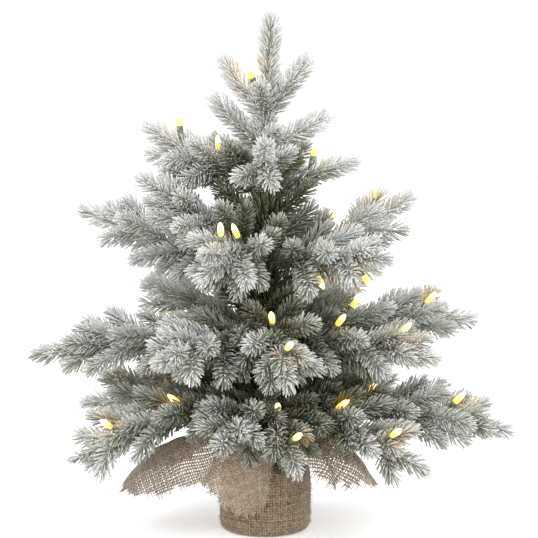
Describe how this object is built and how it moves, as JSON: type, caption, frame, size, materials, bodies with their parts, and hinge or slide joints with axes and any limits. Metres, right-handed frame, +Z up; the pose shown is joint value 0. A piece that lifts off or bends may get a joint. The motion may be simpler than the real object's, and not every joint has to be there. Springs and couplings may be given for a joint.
{
  "type": "artificial tabletop tree",
  "caption": "Small frosted artificial conifer with bendable wire branches, warm mini lights and a weighted base wrapped in burlap, for standing on a table.",
  "frame": {"origin": "centre of the flat underside of the base, on the trunk's axis, on the surface that the tree stands on", "axes": "+Z up along the trunk; the front of the tree faces -Y; +X is to the right seen from the front"},
  "size_m": [0.5567, 0.4102, 0.6],
  "materials": {
    "frosted_needles": "dark green PVC and PE needles under a white, frosted flocking",
    "lights": "warm white mini bulbs in green sockets on a green cord",
    "light_cord": "green PVC insulation",
    "steel": "dark green painted steel tube",
    "wire": "bare drawn steel wire",
    "tape": "dark green florist's tape, wound",
    "burlap_wall": "brown burlap, close plain weave of jute",
    "burlap_loose": "natural burlap, open plain weave of jute with frayed edges",
    "twine": "twisted jute twine",
    "pot": "black moulded polypropylene",
    "plaster": "cast cement, slightly rough"
  },
  "bodies": {
    "trunk_and_base": {"base_pot": "pot", "base_weight": "plaster", "burlap_cover": "burlap_wall", "burlap_collar": "burlap_loose", "twine_tie": "twine", "trunk_pole": "steel", "crown_wire": "wire", "trunk_tape": "tape", "light_string_run": "light_cord", "inner_sprigs_1": "frosted_needles", "inner_sprigs_2": "frosted_needles", "inner_sprigs_3": "frosted_needles", "inner_sprigs_4": "frosted_needles", "crown_sprigs": "frosted_needles", "crown_lights": "lights"},
    "branch_01": {"branch_01_sprigs": "frosted_needles", "branch_01_lights": "lights"},
    "branch_02": {"branch_02_sprigs": "frosted_needles", "branch_02_lights": "lights"},
    "branch_03": {"branch_03_sprigs": "frosted_needles", "branch_03_lights": "lights"},
    "branch_04": {"branch_04_sprigs": "frosted_needles"},
    "branch_05": {"branch_05_sprigs": "frosted_needles", "branch_05_lights": "lights"},
    "branch_06": {"branch_06_sprigs": "frosted_needles", "branch_06_lights": "lights"},
    "branch_07": {"branch_07_sprigs": "frosted_needles", "branch_07_lights": "lights"},
    "branch_08": {"branch_08_sprigs": "frosted_needles"},
    "branch_09": {"branch_09_sprigs": "frosted_needles", "branch_09_lights": "lights"},
    "branch_10": {"branch_10_sprigs": "frosted_needles", "branch_10_lights": "lights"},
    "branch_11": {"branch_11_sprigs": "frosted_needles", "branch_11_lights": "lights"},
    "branch_12": {"branch_12_sprigs": "frosted_needles"},
    "branch_13": {"branch_13_sprigs": "frosted_needles", "branch_13_lights": "lights"},
    "branch_14": {"branch_14_sprigs": "frosted_needles", "branch_14_lights": "lights"},
    "branch_15": {"branch_15_sprigs": "frosted_needles", "branch_15_lights": "lights"},
    "branch_16": {"branch_16_sprigs": "frosted_needles"},
    "branch_17": {"branch_17_sprigs": "frosted_needles", "branch_17_lights": "lights"},
    "branch_18": {"branch_18_sprigs": "frosted_needles", "branch_18_lights": "lights"},
    "branch_19": {"branch_19_sprigs": "frosted_needles", "branch_19_lights": "lights"},
    "branch_20": {"branch_20_sprigs": "frosted_needles"},
    "branch_21": {"branch_21_sprigs": "frosted_needles", "branch_21_lights": "lights"},
    "branch_22": {"branch_22_sprigs": "frosted_needles", "branch_22_lights": "lights"},
    "branch_23": {"branch_23_sprigs": "frosted_needles", "branch_23_lights": "lights"},
    "branch_24": {"branch_24_sprigs": "frosted_needles"},
    "branch_25": {"branch_25_sprigs": "frosted_needles", "branch_25_lights": "lights"}
  },
  "joints": [
    {"name": "branch_01_bend", "type": "hinge", "parent": "trunk_and_base", "child": "branch_01", "pos_m": [0.00812, -0.00114, 0.15], "axis": [-0.1392, -0.9903, 0], "range_deg": [-10, 56], "deforming": ["branch_01_sprigs", "inner_sprigs_1", "inner_sprigs_2", "inner_sprigs_3", "inner_sprigs_4"]},
    {"name": "branch_02_bend", "type": "hinge", "parent": "trunk_and_base", "child": "branch_02", "pos_m": [0.00672, -0.0047, 0.15], "axis": [-0.5736, -0.8192, 0], "range_deg": [-10, 56], "deforming": ["branch_02_sprigs", "inner_sprigs_1", "inner_sprigs_2", "inner_sprigs_3", "inner_sprigs_4"]},
    {"name": "branch_03_bend", "type": "hinge", "parent": "trunk_and_base", "child": "branch_03", "pos_m": [0.00185, -0.00799, 0.15], "axis": [-0.9744, -0.225, 0], "range_deg": [-10, 56], "deforming": ["branch_03_sprigs", "inner_sprigs_1", "inner_sprigs_2", "inner_sprigs_3", "inner_sprigs_4"]},
    {"name": "branch_04_bend", "type": "hinge", "parent": "trunk_and_base", "child": "branch_04", "pos_m": [-0.00212, -0.00792, 0.15], "axis": [-0.9659, 0.2588, 0], "range_deg": [-10, 56], "deforming": ["branch_04_sprigs", "inner_sprigs_1", "inner_sprigs_2", "inner_sprigs_3", "inner_sprigs_4"]},
    {"name": "branch_05_bend", "type": "hinge", "parent": "trunk_and_base", "child": "branch_05", "pos_m": [-0.00743, -0.00347, 0.15], "axis": [-0.4226, 0.9063, 0], "range_deg": [-10, 56], "deforming": ["branch_05_sprigs", "inner_sprigs_1", "inner_sprigs_2", "inner_sprigs_3", "inner_sprigs_4"]},
    {"name": "branch_06_bend", "type": "hinge", "parent": "trunk_and_base", "child": "branch_06", "pos_m": [-0.00771, 0.00281, 0.15], "axis": [0.342, 0.9397, 0], "range_deg": [-10, 56], "deforming": ["branch_06_sprigs", "inner_sprigs_1", "inner_sprigs_2", "inner_sprigs_3", "inner_sprigs_4"]},
    {"name": "branch_07_bend", "type": "hinge", "parent": "trunk_and_base", "child": "branch_07", "pos_m": [-0.00253, 0.0078, 0.15], "axis": [0.9511, 0.309, 0], "range_deg": [-10, 56], "deforming": ["branch_07_sprigs", "inner_sprigs_1", "inner_sprigs_2", "inner_sprigs_3", "inner_sprigs_4"]},
    {"name": "branch_08_bend", "type": "hinge", "parent": "trunk_and_base", "child": "branch_08", "pos_m": [0.00549, 0.00609, 0.15], "axis": [0.7431, -0.6691, 0], "range_deg": [-10, 56], "deforming": ["branch_08_sprigs", "inner_sprigs_1", "inner_sprigs_2", "inner_sprigs_3", "inner_sprigs_4"]},
    {"name": "branch_09_bend", "type": "hinge", "parent": "trunk_and_base", "child": "branch_09", "pos_m": [-0.00818, -0.00057, 0.232], "axis": [-0.0698, 0.9976, 0], "range_deg": [-10, 56], "deforming": ["branch_09_sprigs", "inner_sprigs_1", "inner_sprigs_2", "inner_sprigs_3", "inner_sprigs_4"]},
    {"name": "branch_10_bend", "type": "hinge", "parent": "trunk_and_base", "child": "branch_10", "pos_m": [0.0081, 0.00128, 0.232], "axis": [0.1564, -0.9877, 0], "range_deg": [-10, 56], "deforming": ["branch_10_sprigs", "inner_sprigs_1", "inner_sprigs_2", "inner_sprigs_3", "inner_sprigs_4"]},
    {"name": "branch_11_bend", "type": "hinge", "parent": "trunk_and_base", "child": "branch_11", "pos_m": [0.00114, -0.00812, 0.232], "axis": [-0.9903, -0.1392, 0], "range_deg": [-10, 56], "deforming": ["branch_11_sprigs", "inner_sprigs_1", "inner_sprigs_2", "inner_sprigs_3", "inner_sprigs_4"]},
    {"name": "branch_12_bend", "type": "hinge", "parent": "trunk_and_base", "child": "branch_12", "pos_m": [-0.00447, -0.00688, 0.232], "axis": [-0.8387, 0.5446, 0], "range_deg": [-10, 56], "deforming": ["branch_12_sprigs", "inner_sprigs_1", "inner_sprigs_2", "inner_sprigs_3", "inner_sprigs_4"]},
    {"name": "branch_13_bend", "type": "hinge", "parent": "trunk_and_base", "child": "branch_13", "pos_m": [0.00743, -0.00347, 0.232], "axis": [-0.4226, -0.9063, 0], "range_deg": [-10, 56], "deforming": ["branch_13_sprigs", "inner_sprigs_1", "inner_sprigs_2", "inner_sprigs_3", "inner_sprigs_4"]},
    {"name": "branch_14_bend", "type": "hinge", "parent": "trunk_and_base", "child": "branch_14", "pos_m": [0.0041, 0.0071, 0.232], "axis": [0.866, -0.5, 0], "range_deg": [-10, 52], "deforming": ["branch_14_sprigs", "inner_sprigs_1", "inner_sprigs_2", "inner_sprigs_3", "inner_sprigs_4"]},
    {"name": "branch_15_bend", "type": "hinge", "parent": "trunk_and_base", "child": "branch_15", "pos_m": [-0.00527, 0.00628, 0.232], "axis": [0.766, 0.6428, 0], "range_deg": [-10, 50], "deforming": ["branch_15_sprigs", "inner_sprigs_1", "inner_sprigs_2", "inner_sprigs_3", "inner_sprigs_4"]},
    {"name": "branch_16_bend", "type": "hinge", "parent": "trunk_and_base", "child": "branch_16", "pos_m": [-0.00816, 0.00086, 0.318], "axis": [0.1045, 0.9945, 0], "range_deg": [-10, 44], "deforming": ["branch_16_sprigs", "inner_sprigs_1", "inner_sprigs_2", "inner_sprigs_3", "inner_sprigs_4"]},
    {"name": "branch_17_bend", "type": "hinge", "parent": "trunk_and_base", "child": "branch_17", "pos_m": [0.00749, 0.00333, 0.318], "axis": [0.4067, -0.9135, 0], "range_deg": [-10, 38], "deforming": ["branch_17_sprigs", "inner_sprigs_1", "inner_sprigs_2", "inner_sprigs_3", "inner_sprigs_4"]},
    {"name": "branch_18_bend", "type": "hinge", "parent": "trunk_and_base", "child": "branch_18", "pos_m": [0.00609, -0.00549, 0.318], "axis": [-0.6691, -0.7431, 0], "range_deg": [-10, 54], "deforming": ["branch_18_sprigs", "inner_sprigs_1", "inner_sprigs_2", "inner_sprigs_3", "inner_sprigs_4"]},
    {"name": "branch_19_bend", "type": "hinge", "parent": "trunk_and_base", "child": "branch_19", "pos_m": [-0.00307, -0.0076, 0.318], "axis": [-0.9272, 0.3746, 0], "range_deg": [-10, 52], "deforming": ["branch_19_sprigs", "inner_sprigs_1", "inner_sprigs_2", "inner_sprigs_3", "inner_sprigs_4"]},
    {"name": "branch_20_bend", "type": "hinge", "parent": "trunk_and_base", "child": "branch_20", "pos_m": [-0.00731, -0.00372, 0.318], "axis": [-0.454, 0.891, 0], "range_deg": [-10, 26], "deforming": ["branch_20_sprigs", "inner_sprigs_1", "inner_sprigs_2", "inner_sprigs_3", "inner_sprigs_4"]},
    {"name": "branch_21_bend", "type": "hinge", "parent": "trunk_and_base", "child": "branch_21", "pos_m": [-0.00086, 0.00816, 0.318], "axis": [0.9945, 0.1045, 0], "range_deg": [-10, 46], "deforming": ["branch_21_sprigs", "inner_sprigs_1", "inner_sprigs_2", "inner_sprigs_3", "inner_sprigs_4"]},
    {"name": "branch_22_bend", "type": "hinge", "parent": "trunk_and_base", "child": "branch_22", "pos_m": [-0.00816, -0.00086, 0.4], "axis": [-0.1045, 0.9945, 0], "range_deg": [-10, 30], "deforming": ["branch_22_sprigs", "inner_sprigs_1", "inner_sprigs_2", "inner_sprigs_3", "inner_sprigs_4", "crown_sprigs"]},
    {"name": "branch_23_bend", "type": "hinge", "parent": "trunk_and_base", "child": "branch_23", "pos_m": [0.00808, -0.00142, 0.4], "axis": [-0.1736, -0.9848, 0], "range_deg": [-10, 38], "deforming": ["branch_23_sprigs", "inner_sprigs_1", "inner_sprigs_2", "inner_sprigs_3", "inner_sprigs_4", "crown_sprigs"]},
    {"name": "branch_24_bend", "type": "hinge", "parent": "trunk_and_base", "child": "branch_24", "pos_m": [0, -0.0082, 0.4], "axis": [-1, 0, 0], "range_deg": [-10, 28], "deforming": ["branch_24_sprigs", "inner_sprigs_1", "inner_sprigs_2", "inner_sprigs_3", "inner_sprigs_4", "crown_sprigs"]},
    {"name": "branch_25_bend", "type": "hinge", "parent": "trunk_and_base", "child": "branch_25", "pos_m": [0.00072, 0.00817, 0.4], "axis": [0.9962, -0.0872, 0], "range_deg": [-10, 32], "deforming": ["branch_25_sprigs", "inner_sprigs_1", "inner_sprigs_2", "inner_sprigs_3", "inner_sprigs_4", "crown_sprigs"]}
  ]
}
